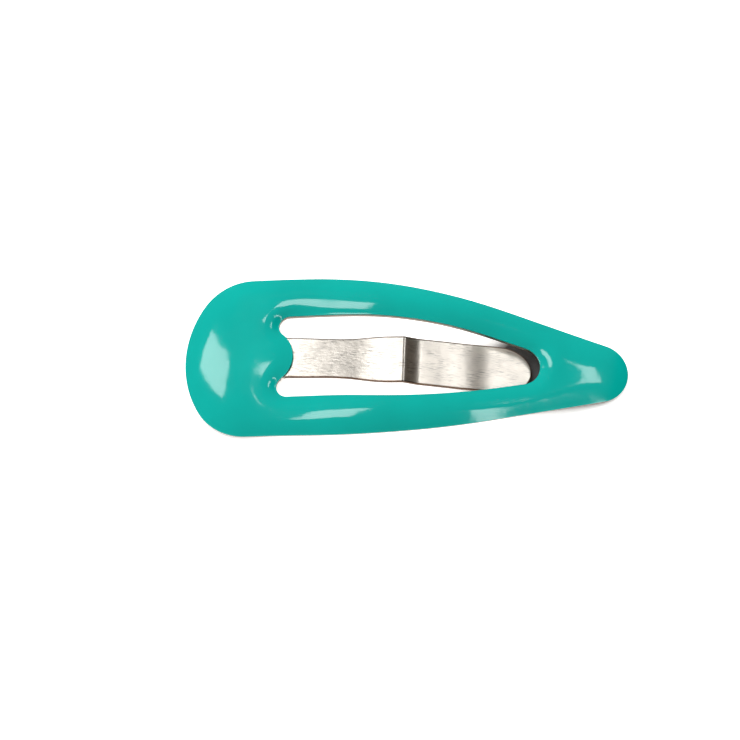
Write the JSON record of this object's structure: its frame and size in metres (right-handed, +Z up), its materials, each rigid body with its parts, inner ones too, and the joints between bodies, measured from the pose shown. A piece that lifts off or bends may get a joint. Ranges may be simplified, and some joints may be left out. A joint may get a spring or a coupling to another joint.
{
  "type": "snap hair clip",
  "caption": "Teardrop snap clip for hair: an arched sprung frame with a domed turquoise enamel face and a bare waved steel tongue in its opening.",
  "frame": {"origin": "centre of the clip's footprint, on the surface that it lies on", "axes": "+X from the wide end to the narrow tip, +Y across the clip, +Z up out of the enamelled face"},
  "size_m": [0.05, 0.0186, 0.0056],
  "materials": {
    "spring_steel": "bright nickel-plated sheet with fine lengthwise scratches",
    "enamel": "glossy turquoise resin"
  },
  "bodies": {
    "frame": {"spring_frame": "spring_steel", "enamel_coat": "enamel", "rivet": "spring_steel"},
    "tongue": {"tongue": "spring_steel"}
  },
  "joints": [
    {"name": "snap_open", "type": "hinge", "parent": "frame", "child": "tongue", "pos_m": [-0.01396, 0, 0.00291], "axis": [0, 1, 0], "range_deg": [0, 18], "stiffness_Nm_per_rad": 0.4}
  ]
}
